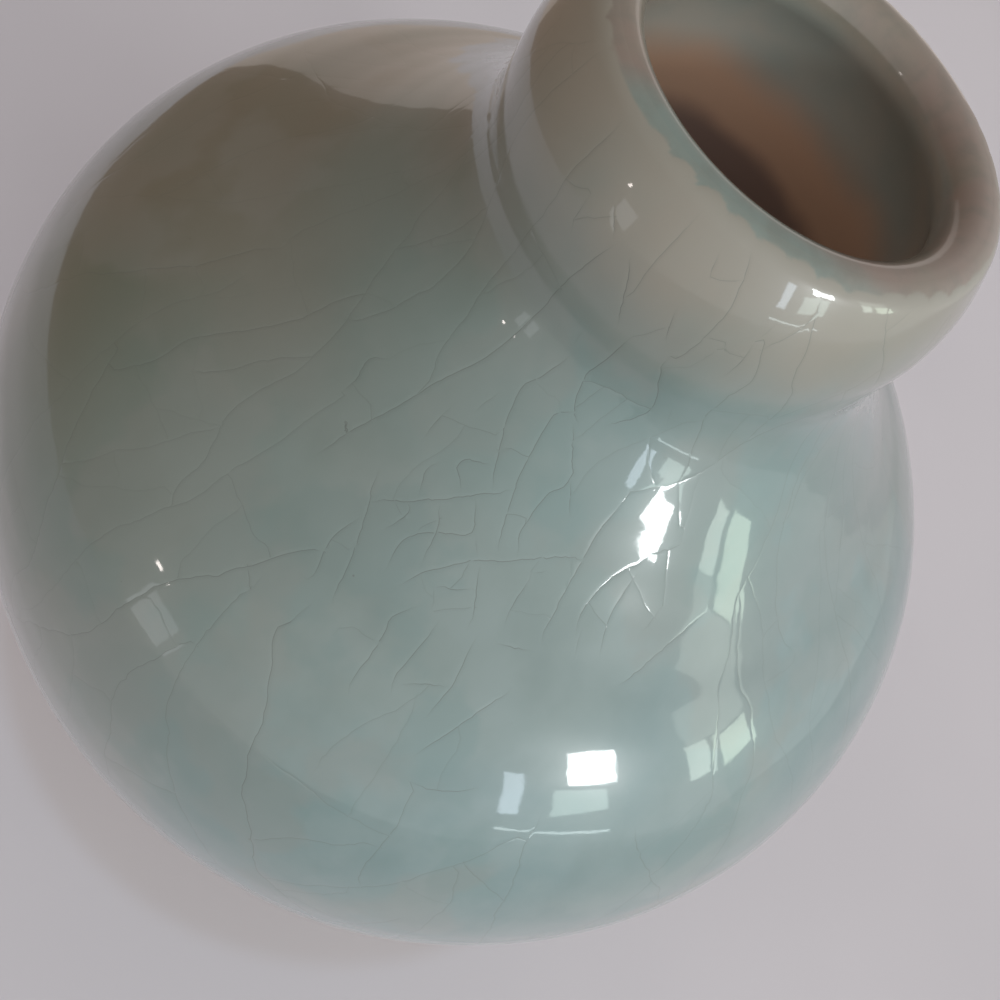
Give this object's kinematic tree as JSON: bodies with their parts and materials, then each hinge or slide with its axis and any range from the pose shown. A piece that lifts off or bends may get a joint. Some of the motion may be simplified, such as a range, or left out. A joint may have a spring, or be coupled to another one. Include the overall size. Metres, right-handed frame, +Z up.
{
  "type": "ceramic vase",
  "caption": "Round ceramic vase with a short swelling neck, a thick rounded lip, a turned foot ring and a crackled grey-green celadon glaze.",
  "frame": {"origin": "on the axis of the vase, in the plane that the foot ring stands on", "axes": "+Z up along the axis, from the foot to the mouth; +X and +Y are alike, because the vase is a body of revolution"},
  "size_m": [0.14, 0.14, 0.1462],
  "materials": {
    "foot_clay": "bare stoneware, burnt red-brown, fine turning lines",
    "body_clay": "bare fired stoneware, matte",
    "joint_clay": "bare fired slip, matte",
    "celadon_glaze": "glossy crackled grey-green celadon, browner where thin",
    "liner_glaze": "glossy grey-green celadon, darker inside"
  },
  "bodies": {
    "root": {"foot_ring": "foot_clay", "lower_body": "body_clay", "upper_body": "body_clay", "neck_collar": "body_clay", "neck_lute": "joint_clay", "outer_glaze": "celadon_glaze", "liner_glaze": "liner_glaze", "base_glaze": "celadon_glaze"}
  },
  "joints": []
}
